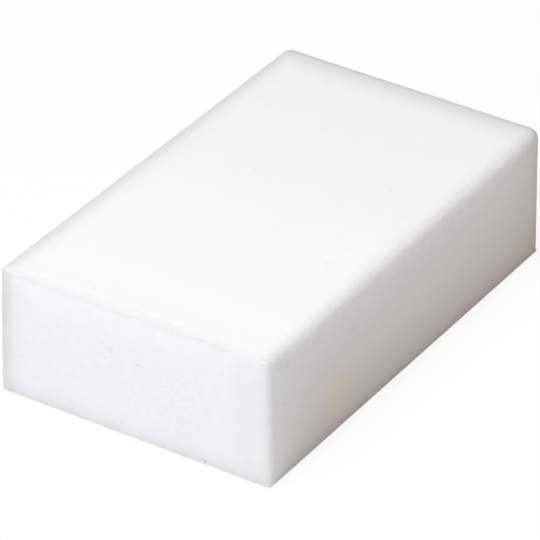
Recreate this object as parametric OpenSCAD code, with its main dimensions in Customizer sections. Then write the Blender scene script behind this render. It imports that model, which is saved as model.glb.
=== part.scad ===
/* [Block] */
// Width of the foam block, from side to side
block_width = 60; // [50:1:75]
// Length of the foam block, from the near end to the far end
block_length = 100; // [80:1:130]
// Height of the foam block as it lies on its base
block_height = 28; // [20:1:40]

/* [Long edges] */
// Rounding radius of the right top edge, the softest of the long ones
right_top_round = 2.0; // [0.6:0.1:4]
// Rounding radius of the left top edge
left_top_round = 1.1; // [0.6:0.1:4]
// Rounding radius of the two long edges at the base
long_base_round = 0.5; // [0.2:0.1:2]

/* [End edges] */
// Rounding radius of the near top edge, which is nearly as sharp as it was cut
near_top_round = 0.7; // [0.3:0.1:3]
// Rounding radius of the far top edge
far_top_round = 2.6; // [0.6:0.1:4]
// Rounding radius of the two short edges at the base
end_base_round = 0.4; // [0.2:0.1:2]

/* [Upright edges] */
// Rounding radius of the two upright edges at the near end
near_upright_round = 1.4; // [0.4:0.1:4]
// Rounding radius of the two upright edges at the far end
far_upright_round = 2.4; // [0.4:0.1:4]

/* [Open pores] */
// Width of the largest burst pore, in the near end
burst_pore_width = 1.8; // [0.6:0.1:4]
// Width of the middling pores in the near end and the top
middle_pore_width = 1.0; // [0.4:0.1:3]
// Width of the smallest pores that still show from a step away
small_pore_width = 0.8; // [0.3:0.1:2]
// Width of the nick in the near end's base edge
nick_width = 1.3; // [0.6:0.1:4]

/* [Hidden] */
$fn = 64;

// A burst pore is a shallow cup: its depth is this part of its width
pore_depth_part = 0.36;
// The nick goes this part of its width into the near end
nick_depth_part = 0.28;
// How far a cutter runs past the faces that it cuts
overrun = 1;

half_width = block_width / 2;
half_length = block_length / 2;
half_height = block_height / 2;

// Roundings in the order low first, low last, high last, high first
section_rounds = [long_base_round, long_base_round, right_top_round, left_top_round];
side_rounds = [end_base_round, end_base_round, far_top_round, near_top_round];
plan_rounds = [near_upright_round, near_upright_round, far_upright_round, far_upright_round];

// Where three edges meet, the corner is a ball of the smallest of their radii
near_left_ball = min(near_top_round, left_top_round, near_upright_round);
near_right_ball = min(near_top_round, right_top_round, near_upright_round);
far_left_ball = min(far_top_round, left_top_round, far_upright_round);
far_right_ball = min(far_top_round, right_top_round, far_upright_round);

// Pores as [place across, place up, width]; a place is a part of the face's half size
near_end_pores = [
    [-0.17, 0.28, burst_pore_width],
    [0.04, 0.20, middle_pore_width],
    [-0.83, -0.33, small_pore_width]
];
right_side_pores = [
    [-0.45, 0.44, small_pore_width],
    [-0.43, 0.40, small_pore_width],
    [-0.70, 0.69, small_pore_width],
    [-0.91, 0.17, small_pore_width],
    [0.35, 0.78, small_pore_width]
];
top_pores = [
    [0.71, -0.31, middle_pore_width],
    [-0.30, 0.11, small_pore_width]
];
// Place of the nick, as a part of the near end's half width
nick_place = 0.52;

// What a rounding takes away from the square corner of a profile
module corner_waste(radius) {
    difference() {
        translate([-overrun, -overrun])
            square(radius + overrun);
        translate([radius, radius])
            circle(radius);
    }
}

// A rectangle with a rounding of its own at each corner
module soft_rectangle(across, up, rounds) {
    difference() {
        square([across, up]);
        corner_waste(rounds[0]);
        translate([across, 0])
            mirror([1, 0])
                corner_waste(rounds[1]);
        translate([across, up])
            rotate(180)
                corner_waste(rounds[2]);
        translate([0, up])
            mirror([0, 1])
                corner_waste(rounds[3]);
    }
}

// The block as seen along its length, which rounds the long edges
module section_form() {
    translate([-half_width, half_length, 0])
        rotate([90, 0, 0])
            linear_extrude(block_length)
                soft_rectangle(block_width, block_height, section_rounds);
}

// The block as seen from the right, which rounds the edges of the two ends
module side_form() {
    translate([-half_width, -half_length, 0])
        rotate([90, 0, 90])
            linear_extrude(block_width)
                soft_rectangle(block_length, block_height, side_rounds);
}

// The block as seen from above, which rounds the upright edges
module plan_form() {
    translate([-half_width, -half_length, 0])
        linear_extrude(block_height)
            soft_rectangle(block_width, block_length, plan_rounds);
}

// What a ball takes away from a top corner; side and end are -1 or 1 for the corner meant
module ball_waste(side, end, radius) {
    shift = (overrun - radius) / 2;
    translate([side * half_width, end * half_length, block_height])
        difference() {
            translate([side * shift, end * shift, shift])
                cube(overrun + radius, center = true);
            translate([-side * radius, -end * radius, -radius])
                sphere(radius);
        }
}

// The four top corners, each with its own ball
module top_corner_wastes() {
    ball_waste(-1, -1, near_left_ball);
    ball_waste(1, -1, near_right_ball);
    ball_waste(-1, 1, far_left_ball);
    ball_waste(1, 1, far_right_ball);
}

// A ball that cuts a cup of this width and depth into the face at z = 0
module cup_cutter(width, depth) {
    radius = (width * width / 4 + depth * depth) / (2 * depth);
    translate([0, 0, radius - depth])
        sphere(radius);
}

// Pores spread over a face that lies at z = 0 with its middle at the origin
module pores(places, half_across, half_up) {
    for (place = places)
        translate([place[0] * half_across, place[1] * half_up, 0])
            cup_cutter(place[2], place[2] * pore_depth_part);
}

module near_end_pore_cutters() {
    translate([0, -half_length, half_height])
        rotate([90, 0, 0]) {
            pores(near_end_pores, half_width, half_height);
            translate([nick_place * half_width, -half_height, 0])
                cup_cutter(nick_width, nick_width * nick_depth_part);
        }
}

module right_side_pore_cutters() {
    translate([half_width, 0, half_height])
        rotate([90, 0, 90])
            pores(right_side_pores, half_length, half_height);
}

module top_pore_cutters() {
    translate([0, 0, block_height])
        pores(top_pores, half_width, half_length);
}

module foam_block() {
    color("white")
        difference() {
            intersection() {
                section_form();
                side_form();
                plan_form();
            }
            top_corner_wastes();
            near_end_pore_cutters();
            right_side_pore_cutters();
            top_pore_cutters();
        }
}

foam_block();
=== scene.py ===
"""A worn block of white melamine foam for wiping marks away, lying on a pale studio floor."""

import logging
import math
from dataclasses import astuple, dataclass, field
from enum import Enum
from typing import NamedTuple

import bpy
import numpy as np
from mathutils import Matrix, Vector, noise


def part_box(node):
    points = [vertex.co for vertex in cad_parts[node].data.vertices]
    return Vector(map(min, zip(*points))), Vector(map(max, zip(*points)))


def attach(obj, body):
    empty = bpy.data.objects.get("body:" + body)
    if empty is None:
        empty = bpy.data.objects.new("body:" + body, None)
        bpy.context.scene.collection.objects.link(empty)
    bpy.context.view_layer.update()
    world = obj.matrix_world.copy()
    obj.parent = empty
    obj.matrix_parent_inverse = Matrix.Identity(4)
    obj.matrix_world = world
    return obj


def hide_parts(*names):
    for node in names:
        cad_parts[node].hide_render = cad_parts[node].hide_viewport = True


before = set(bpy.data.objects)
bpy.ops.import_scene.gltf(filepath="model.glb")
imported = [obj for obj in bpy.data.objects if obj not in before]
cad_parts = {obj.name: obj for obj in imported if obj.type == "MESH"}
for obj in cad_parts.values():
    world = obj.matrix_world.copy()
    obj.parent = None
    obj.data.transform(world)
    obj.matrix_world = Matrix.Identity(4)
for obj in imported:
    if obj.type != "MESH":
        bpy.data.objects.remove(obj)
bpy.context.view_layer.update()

MM = 0.001
BLOCK_NODE = "foam_block"
BODY = "root"
# Painted shade in the pits, dents and crease.
HOLLOW_ATTRIBUTE = "hollow"
# Worn grey and painted shade along the edges.
WEAR_AND_SHADE_ATTRIBUTE = "worn"
# Painted shade low on the right side.
PAINTED_SIDE_SHADE_ATTRIBUTE = "grime"
# Frayed cells, and painted light just below the right top edge.
FRAYED_AND_LIT_ATTRIBUTE = "frayed"

Colour = tuple[float, float, float]
Node = bpy.types.Node
Socket = bpy.types.NodeSocket
Inputs = bpy.types.NodeInputs
Outputs = bpy.types.NodeOutputs

log = logging.getLogger("foam_block")


def smooth_step(values: np.ndarray) -> np.ndarray:
    """Holds values between 0 and 1, and eases them in and out."""
    held = np.clip(values, 0, 1)
    return held * held * (3 - 2 * held)


class Face(Enum):
    """A face of the block: its outward normal, then its across and up directions."""

    NEAR_END = ((0, -1, 0), (1, 0, 0), (0, 0, 1))
    FAR_END = ((0, 1, 0), (-1, 0, 0), (0, 0, 1))
    RIGHT_SIDE = ((1, 0, 0), (0, 1, 0), (0, 0, 1))
    LEFT_SIDE = ((-1, 0, 0), (0, -1, 0), (0, 0, 1))
    TOP = ((0, 0, 1), (1, 0, 0), (0, 1, 0))
    BASE = ((0, 0, -1), (1, 0, 0), (0, -1, 0))

    @property
    def outward(self) -> np.ndarray:
        """The outward normal."""
        return np.array(self.value[0], float)

    @property
    def across(self) -> np.ndarray:
        """The direction from the face's middle to its right, seen from outside."""
        return np.array(self.value[1], float)

    @property
    def up(self) -> np.ndarray:
        """The direction from the face's middle to its upper edge."""
        return np.array(self.value[2], float)


@dataclass(frozen=True)
class SquareBlock:
    """The block as if it were cut square: its lowest corner, and its width, length and height.

    The rules below place everything on it, before the block is pushed out of square. Points are
    given to them one to a row, in metres.
    """

    low: np.ndarray
    size: np.ndarray

    @property
    def middle(self) -> np.ndarray:
        """The middle of the block."""
        return self.low + self.size / 2

    def share(self, points: np.ndarray) -> np.ndarray:
        """How far along each axis the points lie, from 0 at the lowest corner to 1."""
        return (points - self.low) / self.size

    def depth_below(self, face: Face, points: np.ndarray) -> np.ndarray:
        """How deep the points lie below a face."""
        return np.abs(face.outward) @ (self.size / 2) - (points - self.middle) @ face.outward


@dataclass(frozen=True)
class EdgeRounds:
    """Rounding radii of the block's edges, in metres.

    Against the solid's, the right top edge is worn a little further, and the near uprights are a
    little sharper.
    """

    right_top: float = 2.2 * MM
    left_top: float = 1.1 * MM
    long_base: float = 0.5 * MM
    near_top: float = 0.7 * MM
    far_top: float = 2.6 * MM
    end_base: float = 0.4 * MM
    near_upright: float = 1.2 * MM
    far_upright: float = 2.4 * MM

    def largest(self) -> float:
        """The largest radius."""
        return max(astuple(self))

    def of_edge(self, side: Vector, along: Vector) -> float:
        """Finds the radius of one edge of the sharp block.

        Args:
            side: the edge's middle, from the middle of the block.
            along: the edge's direction.

        Returns:
            The radius in metres.
        """
        axis = max(range(3), key=lambda i: abs(along[i]))
        if axis == 2:
            return self.far_upright if side.y > 0 else self.near_upright
        if axis == 1:
            if side.z < 0:
                return self.long_base
            return self.right_top if side.x > 0 else self.left_top
        if side.z < 0:
            return self.end_base
        return self.far_top if side.y > 0 else self.near_top


@dataclass(frozen=True)
class EdgeBand:
    """A band along one edge: worn grey where hands and wiping have roughed up its cells,
    together with painted shade, or painted light for the band below the right top edge.

    A narrow band lies on one of the edge's two faces, shifted away from the other, and fades
    within its reach. A wide one fades evenly from the edge itself.
    """

    from_face: Face
    on_face: Face
    strength: float
    reach: float
    wide_strength: float = 0.0
    shift: float = 0.0
    wide_reach: float = 4.0 * MM

    def tint_share(self, points: np.ndarray, block: SquareBlock) -> np.ndarray:
        """Works out how strongly the band tints each point.

        Args:
            points: the square block's vertices.
            block: the square block.

        Returns:
            The band's share at each point, from 0 to 1.
        """
        away = block.depth_below(self.from_face, points)
        deep = block.depth_below(self.on_face, points)
        narrow = np.exp(-((np.hypot(away - self.shift, deep) / self.reach) ** 2))
        wide = np.exp(-np.hypot(away, deep) / self.wide_reach)
        return self.strength * narrow + self.wide_strength * wide


def edges_worn_and_shaded() -> list[EdgeBand]:
    """The worn grey and painted shade of every edge that shows some, as the photograph has it."""
    return [
        # Painted shade, with some worn grey, darker towards the left and far top edges.
        EdgeBand(Face.LEFT_SIDE, Face.TOP, 0.66, 2.4 * MM, wide_strength=0.18),
        EdgeBand(Face.FAR_END, Face.TOP, 0.62, 5.5 * MM, wide_strength=0.10),
        # Painted shade over the near top edge's highlight, and on the top behind it.
        EdgeBand(Face.NEAR_END, Face.TOP, 0.58, 0.65 * MM, shift=0.1 * MM),
        EdgeBand(Face.NEAR_END, Face.TOP, 0.09, 3.6 * MM, shift=2.0 * MM),
        EdgeBand(Face.NEAR_END, Face.TOP, 0.07, 5.0 * MM, shift=4.5 * MM),
        # Painted shade: the near end darker towards the floor.
        EdgeBand(Face.NEAR_END, Face.BASE, 0.10, 17.0 * MM),
        # Painted shade near the right top edge and the near right upright.
        EdgeBand(Face.RIGHT_SIDE, Face.TOP, 0.03, 2.5 * MM, shift=2.0 * MM),
        EdgeBand(Face.RIGHT_SIDE, Face.NEAR_END, 0.14, 1.6 * MM, shift=0.6 * MM),
        EdgeBand(Face.RIGHT_SIDE, Face.NEAR_END, 0.17, 4.8 * MM, shift=4.5 * MM),
        # Worn grey and painted shade along the uprights.
        EdgeBand(Face.LEFT_SIDE, Face.NEAR_END, 0.50, 2.8 * MM, wide_strength=0.22),
        EdgeBand(Face.RIGHT_SIDE, Face.FAR_END, 0.55, 3.5 * MM, wide_strength=0.15),
        EdgeBand(Face.LEFT_SIDE, Face.FAR_END, 0.30, 2.5 * MM, wide_strength=0.08),
    ]


@dataclass(frozen=True)
class PaintedSideShade:
    """Painted shade low on the right side, darker towards the floor, and less near the near end."""

    strength: float = 0.62
    reach: float = 14.5 * MM
    unshaded_end: float = 8.0 * MM

    def tint_share(self, points: np.ndarray, block: SquareBlock) -> np.ndarray:
        """Works out how much painted shade each point takes.

        Args:
            points: the square block's vertices.
            block: the square block.

        Returns:
            The share of painted shade at each point, from 0 to 1.
        """
        along = block.depth_below(Face.NEAR_END, points)
        from_right = block.depth_below(Face.RIGHT_SIDE, points)
        height = block.depth_below(Face.BASE, points)
        past_unshaded_end = 1 - np.exp(-((along / self.unshaded_end) ** 2))
        return self.strength * past_unshaded_end * np.exp(-((np.hypot(height, from_right) / self.reach) ** 2))


@dataclass(frozen=True)
class SideBulge:
    """The right side's gentle belly and its worn shoulder, which use has left in the foam."""

    height: float = 1.1 * MM
    end_flat: float = 14.0 * MM
    shoulder: float = 0.45 * MM
    shoulder_reach: float = 3.0 * MM

    def pushes(self, points: np.ndarray, block: SquareBlock) -> tuple[np.ndarray, np.ndarray]:
        """Works out how the belly moves the right side.

        Args:
            points: the square block's vertices.
            block: the square block.

        Returns:
            A vector for each point, and zeros, since nothing here is hollow or takes painted shade.
        """
        share = block.share(points)
        rise = np.sin(math.pi * np.clip(share[:, 2], 0, 1))
        from_ends = np.minimum(share[:, 1], 1 - share[:, 1]) * block.size[1]
        below_top = (1 - share[:, 2]) * block.size[2]
        worn_off = self.shoulder * np.exp(-below_top / self.shoulder_reach)
        rightness = np.clip(2 * share[:, 0] - 1, 0, 1)
        belly = (self.height * rise - worn_off) * smooth_step(from_ends / self.end_flat) * rightness**2
        return np.outer(belly, Face.RIGHT_SIDE.outward), np.zeros(len(points))


@dataclass(frozen=True)
class HandCut:
    """How far the block is from square and flat, in metres, as it was cut and worn."""

    far_narrowing: float = 0.79 * MM
    top_narrowing: float = 1.24 * MM
    right_shortening: float = 0.84 * MM
    top_lengthening: float = 0.27 * MM
    right_rise: float = 0.55 * MM
    wave_height: float = 0.10 * MM
    wave_length: float = 23.0 * MM
    ripple_height: float = 0.025 * MM
    ripple_length: float = 4.5 * MM
    ripple_start: tuple[float, float, float] = (7.3, 1.9, 4.1)

    def out_of_square(self, points: np.ndarray, block: SquareBlock) -> np.ndarray:
        """Leans and narrows the square block as the cut did. The base keeps its height.

        Args:
            points: the shaped block's vertices.
            block: the square block.

        Returns:
            The moved vertices.
        """
        share = block.share(points)
        across, along, up = (share - 0.5).T
        moved = points.copy()
        moved[:, 0] -= across * (self.far_narrowing * along + self.top_narrowing * up)
        moved[:, 1] += along * (self.top_lengthening * up - self.right_shortening * across)
        moved[:, 2] += share[:, 2] * self.right_rise * across
        return moved

    def unevenness(self, point: Vector) -> float:
        """Works out how far the surface stands out, from long waves and short ripples.

        Args:
            point: the place on the surface.

        Returns:
            The height in metres.
        """
        waves = noise.noise(point / self.wave_length)
        ripples = noise.noise(point / self.ripple_length + Vector(self.ripple_start))
        return waves * self.wave_height + ripples * self.ripple_height


class MarkForm(NamedTuple):
    """The form of a small mark: its depth and its lip's height, as parts of its width, and its shade.

    A raised mark has a depth below zero. The shade is the painted shade of its bottom, from 0 to 1.
    """

    depth_part: float
    lip_part: float
    shade: float


class MarkKind(Enum):
    """A kind of small mark on the foam."""

    DENT = MarkForm(0.07, 0.02, 0.24)
    PORE = MarkForm(0.08, 0.02, 0.42)
    FAINT_PORE = MarkForm(0.10, 0.02, 0.25)
    NICK = MarkForm(0.22, 0.0, 0.3)
    NUB = MarkForm(-0.10, 0.0, 0.0)


@dataclass(frozen=True)
class Mark:
    """A dent, pore, nick or nub in one face.

    Its place is a part of the face's half size, across and up, and its width is in metres. Its rim
    is a circle made ragged by two lobes and by three, which are turned by its place.
    """

    kind: MarkKind
    face: Face
    across: float
    up: float
    width: float
    two_lobe_part: float = 0.16
    two_lobe_turn: float = 40.0
    three_lobe_part: float = 0.10
    three_lobe_turn: float = 60.0
    cup_power: float = 0.75
    lip_reach: float = 1.25
    lip_spread: float = 0.3

    def middle(self, block: SquareBlock) -> np.ndarray:
        """The mark's middle on the square block's face."""
        towards = self.face.outward + self.across * self.face.across + self.up * self.face.up
        return block.middle + block.size / 2 * towards

    def _reach(self, offset: np.ndarray) -> tuple[np.ndarray, np.ndarray]:
        """Measures how far points lie from the middle, in parts of the ragged rim's radius.

        Args:
            offset: the points from the mark's middle, one row each.

        Returns:
            The reach of each point, and how far it lies towards the lip, from 0 to 1.
        """
        sideways, upward = offset @ self.face.across, offset @ self.face.up
        turn = np.arctan2(upward, sideways)
        two_lobes = self.two_lobe_part * np.sin(2 * turn + self.two_lobe_turn * self.across)
        three_lobes = self.three_lobe_part * np.sin(3 * turn + self.three_lobe_turn * self.up)
        rim = self.width / 2 * (1 + two_lobes + three_lobes)
        return np.hypot(sideways, upward) / rim, (1 - np.sin(turn)) / 2

    def pushes(self, points: np.ndarray, block: SquareBlock) -> tuple[np.ndarray, np.ndarray]:
        """Works out how the mark moves the surface round it.

        Args:
            points: the square block's vertices.
            block: the square block.

        Returns:
            A vector for each point, and the painted shade in its hollow, from 0 to 1.
        """
        offset = points - self.middle(block)
        near = np.abs(offset @ self.face.outward) < self.width
        reach, lipward = self._reach(offset)
        cup = np.where(near, np.clip(1 - reach**2, 0, None) ** self.cup_power, 0.0)
        from_lip = (reach - self.lip_reach) / self.lip_spread
        lip = np.where(near, np.exp(-(from_lip**2)) * lipward, 0.0)
        form = self.kind.value
        out = self.width * (form.lip_part * lip - form.depth_part * cup)
        return np.outer(out, self.face.outward), cup * form.shade


def seen_marks() -> list[Mark]:
    """The marks that show in the photograph, at their places."""
    burst, wide, middling, small, tiny = 2.1 * MM, 1.3 * MM, 1.1 * MM, 0.8 * MM, 0.6 * MM
    pore, nub = MarkKind.PORE, MarkKind.NUB
    return [
        Mark(MarkKind.DENT, Face.NEAR_END, -0.17, 0.28, burst),
        Mark(pore, Face.NEAR_END, 0.04, 0.20, wide),
        Mark(pore, Face.NEAR_END, -0.83, -0.33, middling),
        Mark(MarkKind.NICK, Face.NEAR_END, 0.52, -0.95, wide),
        Mark(pore, Face.RIGHT_SIDE, -0.45, 0.44, small),
        Mark(pore, Face.RIGHT_SIDE, -0.43, 0.40, small),
        Mark(pore, Face.RIGHT_SIDE, -0.70, 0.69, small),
        Mark(pore, Face.RIGHT_SIDE, -0.91, 0.17, small),
        Mark(pore, Face.RIGHT_SIDE, 0.35, 0.78, small),
        Mark(pore, Face.TOP, 0.71, -0.31, middling),
        Mark(pore, Face.TOP, -0.30, 0.11, small),
        Mark(nub, Face.TOP, 0.32, 0.06, small),
        Mark(nub, Face.TOP, 0.57, 0.26, small),
        Mark(nub, Face.TOP, 0.76, -0.29, tiny),
        Mark(nub, Face.TOP, 0.93, -0.40, small),
        Mark(pore, Face.TOP, -0.55, -0.84, tiny),
        Mark(pore, Face.TOP, -0.10, -0.62, tiny),
    ]


@dataclass(frozen=True)
class SmallPores:
    """Small pores strewn over every face but the base, drawn from a fixed seed."""

    each_face: tuple[tuple[Face, int], ...] = (
        (Face.NEAR_END, 8),
        (Face.FAR_END, 8),
        (Face.RIGHT_SIDE, 10),
        (Face.LEFT_SIDE, 12),
        (Face.TOP, 10),
    )
    least: float = 0.40 * MM
    most: float = 0.65 * MM
    margin: float = 0.9
    seed: int = 4127

    def strew(self) -> list[Mark]:
        """Draws the pores.

        Returns:
            The marks, face by face.
        """
        draw = np.random.default_rng(self.seed)
        strewn = []
        for face, count in self.each_face:
            for _ in range(count):
                across, up = draw.uniform(-self.margin, self.margin, 2)
                width = draw.uniform(self.least, self.most)
                strewn.append(Mark(MarkKind.FAINT_PORE, face, across, up, width))
        return strewn


@dataclass(frozen=True)
class TopCrease:
    """The faint wandering crease just under the near top edge, where the saw left the foam, with painted
    shade in its groove.
    """

    drop: float = 0.95 * MM
    half_width: float = 0.65 * MM
    depth: float = 0.03 * MM
    wander: float = 0.14 * MM
    long_wave: float = 5.3 * MM
    short_wave: float = 2.1 * MM
    short_part: float = 0.6
    short_start: float = 1.0
    end_fade: float = 9.0 * MM
    # Painted shade in the groove.
    shade: float = 0.26
    strip_part: float = 1.6

    def pushes(self, points: np.ndarray, block: SquareBlock) -> tuple[np.ndarray, np.ndarray]:
        """Works out how the crease moves the surface round it.

        Args:
            points: the square block's vertices.
            block: the square block.

        Returns:
            A vector for each point, and the painted shade in its hollow, from 0 to 1.
        """
        across = points[:, 0] - block.middle[0]
        inward = block.depth_below(Face.NEAR_END, points)
        down = block.depth_below(Face.TOP, points)
        short_waves = self.short_part * np.sin(across / self.short_wave + self.short_start)
        waves = (np.sin(across / self.long_wave) + short_waves) / (1 + self.short_part)
        from_line = (down - self.drop + self.wander * waves) / self.half_width
        fade = np.sqrt(np.clip((block.size[0] / 2 - across) / self.end_fade, 0, 1))
        groove = np.where(inward < self.half_width, np.exp(-(from_line**2)), 0.0) * fade
        return np.outer(groove * self.depth, -Face.NEAR_END.outward), groove * self.shade

    def nearby(self, points: np.ndarray, block: SquareBlock) -> np.ndarray:
        """Finds the points in the strip that the crease runs in.

        Args:
            points: points on the square block.
            block: the square block.

        Returns:
            Whether each point lies there.
        """
        from_line = np.abs(block.depth_below(Face.TOP, points) - self.drop)
        deep = block.depth_below(Face.NEAR_END, points)
        strip = self.wander + self.strip_part * self.half_width
        return (from_line < strip) & (deep < self.half_width)


def deselect_all() -> None:
    """Leaves no object selected."""
    if bpy.context.mode != "OBJECT":
        bpy.ops.object.mode_set(mode="OBJECT")
    bpy.ops.object.select_all(action="DESELECT")


def make_only_active(piece: bpy.types.Object) -> None:
    """Selects one object alone and makes it active.

    Args:
        piece: the object.
    """
    deselect_all()
    piece.select_set(True)
    bpy.context.view_layer.objects.active = piece


def rows_of(parts: bpy.types.bpy_prop_collection, name: str) -> np.ndarray:
    """Reads a vector of every part of a mesh.

    Args:
        parts: the mesh's vertices or faces.
        name: the vector's name, such as co or normal.

    Returns:
        The vectors, one row each.
    """
    rows = np.empty(len(parts) * 3)
    parts.foreach_get(name, rows)
    return rows.reshape(-1, 3)


def subdivide_selected(cuts: int, mode: tuple[bool, bool, bool]) -> None:
    """Cuts what is selected on the active mesh, in edit mode.

    Args:
        cuts: the number of cuts on each edge.
        mode: which of vertices, edges and faces the selection is of.
    """
    bpy.context.tool_settings.mesh_select_mode = mode
    bpy.ops.object.mode_set(mode="EDIT")
    bpy.ops.mesh.subdivide(number_cuts=cuts)
    bpy.ops.object.mode_set(mode="OBJECT")


def clear_selection(mesh: bpy.types.Mesh) -> None:
    """Deselects every vertex, edge and face of a mesh."""
    for parts in (mesh.vertices, mesh.edges, mesh.polygons):
        parts.foreach_set("select", np.zeros(len(parts), bool))


@dataclass
class FoamBlock:
    """The foam block: a bevelled box, cut finely, pitted, and pushed out of square."""

    square: SquareBlock
    rounds: EdgeRounds = EdgeRounds()
    cut: HandCut = HandCut()
    round_segments: int = 10
    base_flat: float = 3.0 * MM
    mesh_pitch: float = 0.62 * MM
    refined_rings: tuple[float, ...] = (1.1, 0.75)
    marks: list[Mark] = field(default_factory=lambda: seen_marks() + SmallPores().strew())
    crease: TopCrease = TopCrease()
    bulge: SideBulge = SideBulge()
    # Worn grey and painted shade along the edges.
    edge_wear_and_shade: list[EdgeBand] = field(default_factory=edges_worn_and_shaded)
    # Painted shade low on the right side, darker towards the floor.
    grime: PaintedSideShade = PaintedSideShade()
    # Frayed cells with painted light: a brighter, cooler band on the right side just below the top edge.
    frayed: EdgeBand = EdgeBand(Face.TOP, Face.RIGHT_SIDE, 1.0, 3.6 * MM, shift=1.6 * MM)
    piece: bpy.types.Object | None = None

    def build(self) -> bpy.types.Object:
        """Models the block from a box to the pitted foam.

        Returns:
            The finished piece.
        """
        self._start_box()
        self._round_edges()
        self._cut_finely()
        self._refine_round_marks()
        self._shape()
        make_only_active(self.piece)
        bpy.ops.object.shade_smooth()
        return self.piece

    def _start_box(self) -> None:
        """Adds the sharp box at its size and place."""
        deselect_all()
        place = Vector(self.square.middle)
        bpy.ops.mesh.primitive_cube_add(size=1.0, location=place, scale=tuple(self.square.size))
        self.piece = bpy.context.active_object
        self.piece.name = "foam_body"
        self.piece.data.name = "foam_body"
        bpy.ops.object.transform_apply(location=True, rotation=True, scale=True)

    def _round_edges(self) -> None:
        """Rounds each of the twelve edges by its own radius."""
        mesh = self.piece.data
        middle = Vector(self.square.middle)
        largest = self.rounds.largest()
        weights = mesh.attributes.new("bevel_weight_edge", "FLOAT", "EDGE")
        for edge in mesh.edges:
            first, second = (mesh.vertices[i].co for i in edge.vertices)
            radius = self.rounds.of_edge((first + second) / 2 - middle, second - first)
            weights.data[edge.index].value = radius / largest
        bevel = self.piece.modifiers.new("edge rounding", "BEVEL")
        bevel.limit_method = "WEIGHT"
        bevel.width = largest
        bevel.segments = self.round_segments
        bevel.use_clamp_overlap = False
        make_only_active(self.piece)
        bpy.ops.object.modifier_apply(modifier=bevel.name)

    def _cut_finely(self) -> None:
        """Cuts the long edges of each direction into short lengths."""
        mesh = self.piece.data
        make_only_active(self.piece)
        for axis, length in enumerate(self.square.size):
            places = rows_of(mesh.vertices, "co")
            ends = np.empty(len(mesh.edges) * 2, int)
            mesh.edges.foreach_get("vertices", ends)
            starts, stops = ends.reshape(-1, 2).T
            spans = np.abs(places[stops, axis] - places[starts, axis])
            clear_selection(mesh)
            mesh.edges.foreach_set("select", spans > length / 2)
            subdivide_selected(round(length / self.mesh_pitch) - 1, (False, True, False))

    def _refine_round_marks(self) -> None:
        """Cuts the faces near each mark and along the crease finer, in two steps."""
        mesh = self.piece.data
        make_only_active(self.piece)
        for ring in self.refined_rings:
            centres = rows_of(mesh.polygons, "center")
            chosen = self.crease.nearby(centres, self.square)
            for mark in self.marks:
                offset = centres - mark.middle(self.square)
                chosen |= (offset**2).sum(1) < (ring * mark.width) ** 2
            clear_selection(mesh)
            mesh.polygons.foreach_set("select", chosen)
            subdivide_selected(1, (False, False, True))

    def _shape(self) -> None:
        """Moves the vertices: marks, crease and belly first, then uneven, then out of square."""
        mesh = self.piece.data
        start = rows_of(mesh.vertices, "co")
        moved = start.copy()
        hollow = np.zeros(len(start))
        for form in (*self.marks, self.crease, self.bulge):
            push, deep = form.pushes(start, self.square)
            moved += push
            hollow = np.maximum(hollow, deep)
        uneven = np.array([self.cut.unevenness(Vector(place)) for place in start])
        above_base = np.clip(self.square.depth_below(Face.BASE, start) / self.base_flat, 0, 1)
        moved += rows_of(mesh.vertices, "normal") * (uneven * above_base)[:, None]
        mesh.vertices.foreach_set("co", self.cut.out_of_square(moved, self.square).ravel())
        mesh.update()
        self._store_use(start, hollow)

    def _store_use(self, start: np.ndarray, hollow: np.ndarray) -> None:
        """Keeps each vertex's painted shade in hollows, its worn grey and painted edge shade, its
        painted side shade, and its fraying with painted light, for the finish to read.

        Args:
            start: the square block's vertices.
            hollow: the painted shade in each vertex's hollow.
        """
        use = {
            HOLLOW_ATTRIBUTE: hollow,
            WEAR_AND_SHADE_ATTRIBUTE: self._summed_edge_bands(start),
            PAINTED_SIDE_SHADE_ATTRIBUTE: self.grime.tint_share(start, self.square),
            FRAYED_AND_LIT_ATTRIBUTE: self.frayed.tint_share(start, self.square),
        }
        for name, values in use.items():
            kept = self.piece.data.attributes.new(name, "FLOAT", "POINT")
            kept.data.foreach_set("value", np.clip(values, 0, 1))

    def _summed_edge_bands(self, start: np.ndarray) -> np.ndarray:
        """Adds up the worn grey and painted shade of each edge, and takes the most of any edge
        at each vertex.

        Args:
            start: the square block's vertices.

        Returns:
            The worn grey and painted shade of each vertex.
        """
        by_edge: dict[tuple[Face, Face], np.ndarray] = {}
        for edge_wear_and_shade in self.edge_wear_and_shade:
            edge = (edge_wear_and_shade.from_face, edge_wear_and_shade.on_face)
            by_edge[edge] = by_edge.get(edge, 0) + edge_wear_and_shade.tint_share(start, self.square)
        return np.max(list(by_edge.values()), axis=0)

    def dress(self, material: bpy.types.Material) -> None:
        """Gives the block its finish and ties it to the frame.

        Args:
            material: the finish.
        """
        self.piece.data.materials.clear()
        self.piece.data.materials.append(material)
        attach(self.piece, BODY)
        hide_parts(BLOCK_NODE)


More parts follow.
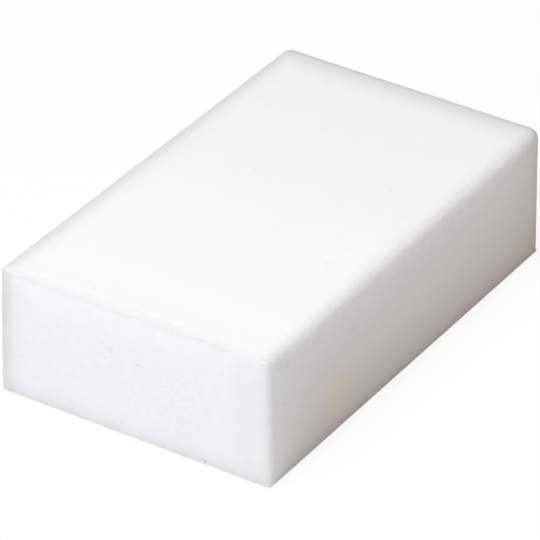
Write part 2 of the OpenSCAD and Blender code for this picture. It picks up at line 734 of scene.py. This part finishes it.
@dataclass(frozen=True)
class NodeBoard:
    """Adds and joins the nodes of one node tree."""

    tree: bpy.types.NodeTree

    @classmethod
    def cleared(cls, owner: bpy.types.Material | bpy.types.World) -> "NodeBoard":
        """Clears the nodes of a material or world.

        Args:
            owner: the material or world.

        Returns:
            The board of its nodes.
        """
        owner.use_nodes = True
        owner.node_tree.nodes.clear()
        return cls(owner.node_tree)

    def add(self, kind: str, **settings: object) -> Node:
        """Adds a node and sets its properties.

        Args:
            kind: the node's type name.
            settings: properties of the node by name.

        Returns:
            The node.
        """
        made = self.tree.nodes.new(kind)
        for name, value in settings.items():
            setattr(made, name, value)
        return made

    def feed(self, target: Socket, value: object) -> None:
        """Gives an input its value.

        Args:
            target: the input.
            value: the output to link to it, or a plain value.
        """
        if isinstance(value, Socket):
            self.tree.links.new(value, target)
        else:
            target.default_value = value

    def combine(self, kind: str, operation: str, values: tuple[object, ...]) -> Node:
        """Adds a node that works on its inputs in order.

        Args:
            kind: the node's type name.
            operation: what it does.
            values: a socket or a value for each input.

        Returns:
            The node.
        """
        made = self.add(kind, operation=operation)
        for socket, value in zip(made.inputs, values):
            self.feed(socket, value)
        return made

    def maths(self, operation: str, *values: object) -> Socket:
        """The result of a Math node on the values given."""
        return self.combine("ShaderNodeMath", operation, values).outputs[0]

    def spread(self, value: object, low: object, high: object) -> Socket:
        """Maps a value between two limits to 0 and 1 smoothly, and holds it there.

        Args:
            value: the value to map.
            low: the value that becomes 0.
            high: the value that becomes 1.

        Returns:
            The mapped value.
        """
        made = self.add("ShaderNodeMapRange", interpolation_type="SMOOTHSTEP")
        self.feed(made.inputs["Value"], value)
        self.feed(made.inputs["From Min"], low)
        self.feed(made.inputs["From Max"], high)
        return made.outputs["Result"]

    def noise(self, place: object, width: object, detail: float) -> Socket:
        """Adds a noise pattern of blotches about as wide as given.

        Args:
            place: the point to read the pattern at.
            width: the width of a blotch in metres.
            detail: how many finer layers are added.

        Returns:
            The pattern, from 0 to 1.
        """
        made = self.add("ShaderNodeTexNoise")
        self.feed(made.inputs["Vector"], place)
        self.feed(made.inputs["Scale"], self.maths("DIVIDE", 1.0, width))
        made.inputs["Detail"].default_value = detail
        return made.outputs["Fac"]

    def kept(self, name: str) -> Socket:
        """The value that the mesh keeps at each vertex under a name."""
        return self.add("ShaderNodeAttribute", attribute_name=name).outputs["Fac"]

    def tinted(self, share: object, colour: object, tint: Colour) -> Socket:
        """Mixes a tint into a colour.

        Args:
            share: how much of the tint to take, from 0 to 1.
            colour: the colour to start from.
            tint: the colour to mix in.

        Returns:
            The mixed colour.
        """
        made = self.add("ShaderNodeMix", data_type="RGBA")
        self.feed(made.inputs["Factor"], share)
        self.feed(made.inputs["A"], colour)
        self.feed(made.inputs["B"], (*tint, 1.0))
        return made.outputs["Result"]

    def mix_shaders(self, share: object, first: Node, second: Node) -> Node:
        """Mixes two shaders.

        Args:
            share: how much of the second to take, from 0 to 1.
            first: the first shader.
            second: the second shader.

        Returns:
            The mixing node.
        """
        mixed = self.add("ShaderNodeMixShader")
        self.feed(mixed.inputs["Fac"], share)
        self.feed(mixed.inputs[1], first.outputs[0])
        self.feed(mixed.inputs[2], second.outputs[0])
        return mixed


class EffectGroup:
    """A shared effect: a shader node group with named inputs and outputs, built once."""

    name = "effect"
    numbers: tuple[tuple[str, float], ...] = ()
    results: tuple[str, ...] = ()

    def tree(self) -> bpy.types.NodeTree:
        """Finds the group, or builds it on its first use.

        Returns:
            The node group.
        """
        known = bpy.data.node_groups.get(self.name)
        if known:
            return known
        made = bpy.data.node_groups.new(self.name, "ShaderNodeTree")
        made.interface.new_socket("Place", in_out="INPUT", socket_type="NodeSocketVector")
        for name, value in self.numbers:
            socket = made.interface.new_socket(name, in_out="INPUT", socket_type="NodeSocketFloat")
            socket.default_value = value
        for name in self.results:
            made.interface.new_socket(name, in_out="OUTPUT", socket_type="NodeSocketFloat")
        board = NodeBoard(made)
        self.fill(board, board.add("NodeGroupInput").outputs, board.add("NodeGroupOutput").inputs)
        return made

    def fill(self, board: NodeBoard, given: Outputs, wanted: Inputs) -> None:
        """Builds the nodes between the group's inputs and outputs."""
        raise NotImplementedError

    def place(self, board: NodeBoard, point: Socket, **values: float) -> Outputs:
        """Puts the effect into a material.

        Args:
            board: the material's nodes.
            point: the point to read the effect at.
            values: the effect's numbers by name, with underscores for spaces.

        Returns:
            The group's results.
        """
        made = board.add("ShaderNodeGroup", node_tree=self.tree())
        board.feed(made.inputs["Place"], point)
        for name, value in values.items():
            board.feed(made.inputs[name.replace("_", " ").capitalize()], value)
        return made.outputs


class CellGrain(EffectGroup):
    """The open cells of a fine foam: a crowd of tiny hollows, gathered in soft clumps."""

    name = "cell_grain"
    numbers = (("Cell width", 0.30 * MM), ("Clump width", 1.4 * MM))
    results = ("Height", "Clumps", "Tone")
    cell_layers = 2.0
    clump_share = 0.45

    def fill(self, board: NodeBoard, given: Outputs, wanted: Inputs) -> None:
        """Mixes fine cells with wider clumps.

        Args:
            board: the group's nodes.
            given: the group's inputs.
            wanted: the group's results.
        """
        cells = board.noise(given["Place"], given["Cell width"], self.cell_layers)
        clumps = board.noise(given["Place"], given["Clump width"], self.cell_layers)
        mixed = board.add("ShaderNodeMix", data_type="FLOAT")
        mixed.inputs["Factor"].default_value = self.clump_share
        board.feed(mixed.inputs["A"], cells)
        board.feed(mixed.inputs["B"], clumps)
        board.feed(wanted["Height"], cells)
        board.feed(wanted["Clumps"], clumps)
        board.feed(wanted["Tone"], mixed.outputs["Result"])


class PoreSpecks(EffectGroup):
    """Single open cells that are larger than the rest, and show as faint dents that the finish darkens with
    painted shade.
    """

    name = "pore_specks"
    numbers = (("Spacing", 2.4 * MM), ("Speck width", 0.5 * MM), ("Share", 0.5))
    results = ("Speck",)

    def fill(self, board: NodeBoard, given: Outputs, wanted: Inputs) -> None:
        """Draws a soft dot in a share of a loose crowd of points, each of a width of its own.

        Args:
            board: the group's nodes.
            given: the group's inputs.
            wanted: the group's results.
        """
        crowd = board.add("ShaderNodeTexVoronoi", feature="F1")
        board.feed(crowd.inputs["Vector"], given["Place"])
        board.feed(crowd.inputs["Scale"], board.maths("DIVIDE", 1.0, given["Spacing"]))
        away = board.maths("MULTIPLY", crowd.outputs["Distance"], given["Spacing"])
        own = board.add("ShaderNodeSeparateColor")
        board.feed(own.inputs["Color"], crowd.outputs["Color"])
        widest = board.maths("DIVIDE", given["Speck width"], 2.0)
        radius = board.maths("MULTIPLY", widest, own.outputs["Green"])
        dot = board.spread(away, radius, 0.0)
        chosen = board.maths("LESS_THAN", own.outputs["Red"], given["Share"])
        board.feed(wanted["Speck"], board.maths("MULTIPLY", dot, chosen))


class SoftPatch(EffectGroup):
    """A soft-edged round patch with a ragged outline, for a stain or a rougher place."""

    name = "soft_patch"
    numbers = (("Across", 0.0), ("Along", 0.0), ("Up", 0.0), ("Radius", 5.0 * MM), ("Raggedness", 2.0 * MM))
    results = ("Patch",)
    blotch_part = 0.5
    blotch_layers = 2.0
    blotch_mean = 0.5
    core_part = 0.2

    def fill(self, board: NodeBoard, given: Outputs, wanted: Inputs) -> None:
        """Fades a ball of the radius given, with its distance shaken by noise.

        Args:
            board: the group's nodes.
            given: the group's inputs.
            wanted: the group's results.
        """
        middle = board.add("ShaderNodeCombineXYZ")
        for socket, name in zip(middle.inputs, ("Across", "Along", "Up")):
            board.feed(socket, given[name])
        ends = (given["Place"], middle.outputs[0])
        away = board.combine("ShaderNodeVectorMath", "DISTANCE", ends).outputs["Value"]
        blotch = board.maths("MULTIPLY", given["Radius"], self.blotch_part)
        blotches = board.noise(given["Place"], blotch, self.blotch_layers)
        shake = board.maths("SUBTRACT", blotches, self.blotch_mean)
        ragged = board.maths("MULTIPLY_ADD", shake, given["Raggedness"], away)
        core = board.maths("MULTIPLY", given["Radius"], self.core_part)
        board.feed(wanted["Patch"], board.spread(ragged, given["Radius"], core))


@dataclass(frozen=True)
class Patch:
    """Where a soft patch lies on the block, in metres, and how strong it is."""

    middle: tuple[float, float, float]
    radius: float
    raggedness: float
    strength: float

    def mask(self, board: NodeBoard, point: Socket) -> Socket:
        """Puts the patch into a material.

        Args:
            board: the material's nodes.
            point: the point to read it at.

        Returns:
            The patch's mask, from 0 to its strength.
        """
        numbers = dict(zip(("across", "along", "up"), self.middle))
        placed = SoftPatch().place(board, point, radius=self.radius, raggedness=self.raggedness, **numbers)
        return board.maths("MULTIPLY", placed["Patch"], self.strength)


@dataclass(frozen=True)
class FoamFinish:
    """White melamine foam: matt, finely celled and translucent, with what use has left on it, and
    with painted light and shade in its colour.

    The grain shows least on the wiped top, and most in the near end's rough patch and along the
    fraying right top edge.
    """

    white: Colour = (0.915, 0.92, 0.935)
    # A warm cast of painted light on the top, towards the near end.
    painted_warm_light_tint: Colour = (0.92, 0.895, 0.845)
    # Painted light, brighter and cooler, on the band below the right top edge.
    frayed_and_lit_tint: Colour = (0.945, 0.955, 0.98)
    # The grey of the edge bands: worn cells and painted shade.
    wear_and_shade_tint: Colour = (0.63, 0.62, 0.625)
    # Warm painted shade low on the right side.
    painted_side_shade_tint: Colour = (0.63, 0.595, 0.545)
    # Painted shade in the pits, dents, crease and pore specks.
    hollow_shade_tint: Colour = (0.45, 0.44, 0.42)
    hollow_shade_share: float = 0.35
    stain_tint: Colour = (0.89, 0.83, 0.55)
    grain_tint: Colour = (0.74, 0.74, 0.74)
    grain_share: float = 0.21
    pale_grain: float = 0.62
    dark_grain: float = 0.38
    roughness: float = 0.95
    roughness_swing: float = 0.08
    gloss: float = 0.2
    light_depth: float = 8.0 * MM
    depth_by_colour: Colour = (1.0, 1.0, 1.0)
    translucency: float = 0.65
    cell_relief: float = 0.085 * MM
    clump_relief: float = 0.11 * MM
    pore_relief: float = 0.06 * MM
    grain_patch: Patch = Patch((10.5 * MM, -50.0 * MM, 10.5 * MM), 14.0 * MM, 8.0 * MM, strength=1.0)
    stain_patch: Patch = Patch((30.5 * MM, -28.3 * MM, 9.4 * MM), 7.3 * MM, 2.0 * MM, strength=0.23)
    # Where the painted warm light lies on the top, strongest towards the near end.
    painted_warm_light_patch: Patch = Patch((-5.0 * MM, -40.0 * MM, 28.0 * MM), 75.0 * MM, 4.0 * MM, strength=0.5)
    calm_grain: float = 0.58
    wiped_grain: float = 0.50
    frayed_grain: float = 0.9
    wiped_above: float = 27.0 * MM
    wiped_fully: float = 27.7 * MM

    def material(self) -> bpy.types.Material:
        """Builds the finish.

        Returns:
            The material.
        """
        made = bpy.data.materials.new("melamine_foam")
        board = NodeBoard.cleared(made)
        point = board.add("ShaderNodeTexCoord").outputs["Object"]
        grain = CellGrain().place(board, point)
        specks = PoreSpecks().place(board, point)["Speck"]
        wiped = self._wiped(board, point)
        unwiped = board.maths("MULTIPLY_ADD", wiped, self.wiped_grain - 1.0, 1.0)
        coarse = self._coarseness(board, point, unwiped)
        shade = board.spread(grain["Tone"], self.pale_grain, self.dark_grain)
        tone = board.maths("MULTIPLY", shade, coarse)
        dots = board.maths("MULTIPLY", specks, coarse)
        cells = board.maths("MULTIPLY", grain["Height"], coarse)
        clumps = board.maths("MULTIPLY", grain["Clumps"], unwiped)
        foam = self._shader(board)
        board.feed(foam.inputs["Base Color"], self._colour(board, point, wiped, tone, dots))
        swing = board.maths("MULTIPLY_ADD", tone, -self.roughness_swing, self.roughness)
        board.feed(foam.inputs["Roughness"], swing)
        board.feed(foam.inputs["Normal"], self._relief(board, cells, clumps, specks))
        out = board.add("ShaderNodeOutputMaterial")
        board.feed(out.inputs["Surface"], foam.outputs["BSDF"])
        return made

    def _wiped(self, board: NodeBoard, point: Socket) -> Socket:
        """Makes the mask of the top, which is wiped smoother.

        Args:
            board: the material's nodes.
            point: the point to read it at.

        Returns:
            The mask, from 0 on the sides to 1 on the top.
        """
        parts = board.add("ShaderNodeSeparateXYZ")
        board.feed(parts.inputs["Vector"], point)
        return board.spread(parts.outputs["Z"], self.wiped_above, self.wiped_fully)

    def _coarseness(self, board: NodeBoard, point: Socket, unwiped: Socket) -> Socket:
        """Works out how strongly the grain shows.

        Args:
            board: the material's nodes.
            point: the point to read it at.
            unwiped: how much of the grain wiping has left.

        Returns:
            The strength, which passes 1 along the fraying right top edge.
        """
        rough = board.maths("MAXIMUM", self.grain_patch.mask(board, point), self.calm_grain)
        left = board.maths("MULTIPLY", rough, unwiped)
        return board.maths("MULTIPLY_ADD", board.kept(FRAYED_AND_LIT_ATTRIBUTE), self.frayed_grain, left)

    def _shader(self, board: NodeBoard) -> Node:
        """Adds the shader, with the values that are the same all over.

        Args:
            board: the material's nodes.

        Returns:
            The shader.
        """
        foam = board.add("ShaderNodeBsdfPrincipled")
        foam.inputs["Specular IOR Level"].default_value = self.gloss
        foam.inputs["Subsurface Weight"].default_value = self.translucency
        foam.inputs["Subsurface Radius"].default_value = self.depth_by_colour
        foam.inputs["Subsurface Scale"].default_value = self.light_depth
        return foam

    def _colour(self, board: NodeBoard, point: Socket, wiped: Socket, tone: Socket, dots: Socket) -> Socket:
        """Lays the tints, painted light and shade among them, over the white, one after another.

        Args:
            board: the material's nodes.
            point: the point to read them at.
            wiped: the mask of the top.
            tone: how dark the grain is.
            dots: how much painted shade the pore specks take.

        Returns:
            The colour.
        """
        # Painted warm light on the top only, towards the near end.
        warm_light = board.maths("MULTIPLY", self.painted_warm_light_patch.mask(board, point), wiped)
        dark = board.maths("MAXIMUM", board.kept(HOLLOW_ATTRIBUTE), dots)
        layers = (
            # Painted warm light on the top, towards the near end.
            (warm_light, self.painted_warm_light_tint),
            # Painted light on the band below the right top edge.
            (board.kept(FRAYED_AND_LIT_ATTRIBUTE), self.frayed_and_lit_tint),
            (board.maths("MULTIPLY", tone, self.grain_share), self.grain_tint),
            # Worn grey and painted shade along the edges.
            (board.kept(WEAR_AND_SHADE_ATTRIBUTE), self.wear_and_shade_tint),
            # Painted shade, darker towards the bottom of the right side.
            (board.kept(PAINTED_SIDE_SHADE_ATTRIBUTE), self.painted_side_shade_tint),
            (self.stain_patch.mask(board, point), self.stain_tint),
            # Painted shade in the pits, dents, crease and pore specks.
            (board.maths("MULTIPLY", dark, self.hollow_shade_share), self.hollow_shade_tint),
        )
        colour = (*self.white, 1.0)
        for share, tint in layers:
            colour = board.tinted(share, colour, tint)
        return colour

    def _relief(self, board: NodeBoard, cells: Socket, clumps: Socket, specks: Socket) -> Socket:
        """Turns the cells, their clumps and the specks into a bumped normal.

        Args:
            board: the material's nodes.
            cells: the height of the cells, from 0 to 1.
            clumps: the height of the clumps, from 0 to 1.
            specks: the specks' mask, which is deepest at 1.

        Returns:
            The normal.
        """
        normal = None
        layers = ((cells, self.cell_relief), (clumps, self.clump_relief), (specks, -self.pore_relief))
        for height, distance in layers:
            bump = board.add("ShaderNodeBump", invert=distance < 0)
            bump.inputs["Distance"].default_value = abs(distance)
            board.feed(bump.inputs["Height"], height)
            if normal:
                board.feed(bump.inputs["Normal"], normal)
            normal = bump.outputs["Normal"]
        return normal


def seen_directly(board: NodeBoard) -> Socket:
    """Asks whether a ray comes from the camera, directly or by gloss or glass.

    Args:
        board: the material's nodes.

    Returns:
        The answer, as 1 or 0.
    """
    path = board.add("ShaderNodeLightPath").outputs
    direct = board.maths("MAXIMUM", path["Is Camera Ray"], path["Is Glossy Ray"])
    return board.maths("MAXIMUM", direct, path["Is Transmission Ray"])


@dataclass(frozen=True)
class StudioFloor:
    """The pale floor: white to the camera, with the block's shadow kept light.

    It lies a little below the block, so that the block's foot takes some light from it.
    """

    half_width: float = 1.5
    gap: float = 0.4 * MM
    bounce_tint: Colour = (0.90, 0.90, 0.90)
    shown_tint: Colour = (1.0, 1.0, 1.0)
    glow_level: float = 1.0
    camera_white: float = 0.9

    def build(self) -> None:
        """Lays the floor under the block."""
        deselect_all()
        bpy.ops.mesh.primitive_plane_add(size=2 * self.half_width, location=(0, 0, -self.gap))
        floor = bpy.context.active_object
        floor.name = "studio_floor"
        floor.data.materials.append(self._material())

    def _material(self) -> bpy.types.Material:
        """Makes the floor's finish: a matt bounce for the block, and a whiter one for the camera.

        Returns:
            The material.
        """
        made = bpy.data.materials.new("studio_floor")
        board = NodeBoard.cleared(made)
        bounce = board.add("ShaderNodeBsdfDiffuse")
        bounce.inputs["Color"].default_value = (*self.bounce_tint, 1.0)
        shown = board.add("ShaderNodeBsdfDiffuse")
        shown.inputs["Color"].default_value = (*self.shown_tint, 1.0)
        glow = board.add("ShaderNodeEmission")
        glow.inputs["Strength"].default_value = self.glow_level
        lifted = board.mix_shaders(self.camera_white, shown, glow)
        surface = board.mix_shaders(seen_directly(board), bounce, lifted)
        out = board.add("ShaderNodeOutputMaterial")
        board.feed(out.inputs["Surface"], surface.outputs[0])
        return made


def direction(azimuth: float, elevation: float) -> Vector:
    """Works out the direction from the block to a lamp or camera.

    Args:
        azimuth: degrees round from the near end, towards the right side.
        elevation: degrees above the floor.

    Returns:
        The unit vector.
    """
    turn, rise = math.radians(azimuth), math.radians(elevation)
    return Vector((math.sin(turn) * math.cos(rise), -math.cos(turn) * math.cos(rise), math.sin(rise)))


@dataclass(frozen=True)
class Lamp:
    """A square soft lamp that looks at the block from a direction.

    At a level of 1, a white face that looks at the lamp is lit to plain white.
    """

    name: str
    azimuth: float
    elevation: float
    level: float
    tint: Colour
    distance: float = 0.9
    side: float = 0.5

    def build(self, aim: Vector) -> None:
        """Hangs the lamp.

        Args:
            aim: the point that it looks at.
        """
        data = bpy.data.lights.new(self.name, "AREA")
        data.shape = "SQUARE"
        data.size = self.side
        data.color = self.tint
        data.energy = self.level * (math.pi * self.distance) ** 2
        lamp = bpy.data.objects.new(self.name, data)
        bpy.context.scene.collection.objects.link(lamp)
        towards = direction(self.azimuth, self.elevation)
        lamp.location = aim + towards * self.distance
        lamp.rotation_euler = towards.to_track_quat("Z", "Y").to_euler()


@dataclass(frozen=True)
class StudioLight:
    """The plain soft light: a large key lamp, a dimmer one from the right and an even sky."""

    sky_level: float = 0.105
    sky_tint: Colour = (1.65, 1.0, 0.66)
    shown_level: float = 1.0
    shown_tint: Colour = (1.0, 1.0, 1.0)
    key: Lamp = Lamp("key_lamp", azimuth=-10.0, elevation=60.9, level=0.955, tint=(0.89, 1.0, 1.097))
    fill: Lamp = Lamp("fill_lamp", azimuth=60.0, elevation=62.0, level=0.15, tint=(1.05, 1.0, 0.82))

    def build(self, aim: Vector) -> None:
        """Sets the sky and hangs the lamps.

        Args:
            aim: the point that the lamps look at.
        """
        self.key.build(aim)
        self.fill.build(aim)
        world = bpy.data.worlds.new("studio_sky")
        bpy.context.scene.world = world
        board = NodeBoard.cleared(world)
        sky = self._background(board, self.sky_tint, self.sky_level)
        shown = self._background(board, self.shown_tint, self.shown_level)
        choice = board.mix_shaders(seen_directly(board), sky, shown)
        out = board.add("ShaderNodeOutputWorld")
        board.feed(out.inputs["Surface"], choice.outputs[0])

    def _background(self, board: NodeBoard, tint: Colour, level: float) -> Node:
        """Adds an even background.

        Args:
            board: the world's nodes.
            tint: its colour.
            level: its strength.

        Returns:
            The background's node.
        """
        made = board.add("ShaderNodeBackground")
        made.inputs["Color"].default_value = (*tint, 1.0)
        made.inputs["Strength"].default_value = level
        return made


@dataclass(frozen=True)
class PhotoCamera:
    """The camera of the photograph: a long lens that looks down on the near right corner."""

    azimuth: float = 32.622
    elevation: float = 32.646
    roll: float = 0.539
    distance: float = 954.93 * MM
    aim: tuple[float, float, float] = (1.31 * MM, -4.94 * MM, 14.0 * MM)
    lens: float = 330.55
    sensor: float = 36.0
    nearest: float = 10.0 * MM

    def build(self) -> None:
        """Places the camera and makes it the scene's."""
        turn = math.radians(self.azimuth)
        back = direction(self.azimuth, self.elevation)
        right = Vector((math.cos(turn), math.sin(turn), 0.0))
        up = back.cross(right)
        tilt = math.radians(self.roll)
        rolled_right = right * math.cos(tilt) + up * math.sin(tilt)
        rolled_up = up * math.cos(tilt) - right * math.sin(tilt)
        data = bpy.data.cameras.new("photo_camera")
        data.lens = self.lens
        data.sensor_width = self.sensor
        data.clip_start = self.nearest
        camera = bpy.data.objects.new("photo_camera", data)
        bpy.context.scene.collection.objects.link(camera)
        place = Vector(self.aim) + back * self.distance
        turned = Matrix((rolled_right, rolled_up, back)).transposed()
        camera.matrix_world = Matrix.Translation(place) @ turned.to_4x4()
        bpy.context.scene.camera = camera


def main() -> None:
    """Builds the camera, the block and the studio, in that order."""
    logging.basicConfig(level=logging.INFO, format="%(name)s: %(message)s")
    bpy.context.scene.view_settings.view_transform = "Standard"
    PhotoCamera().build()
    low, high = (np.array(corner, float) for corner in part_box(BLOCK_NODE))
    square = SquareBlock(low=low, size=high - low)
    block = FoamBlock(square)
    piece = block.build()
    block.dress(FoamFinish().material())
    log.info("%s: %d faces", piece.name, len(piece.data.polygons))
    StudioFloor().build()
    StudioLight().build(Vector(square.middle))
    log.info("studio: floor, sky and two lamps")


if __name__ == "__main__":
    main()
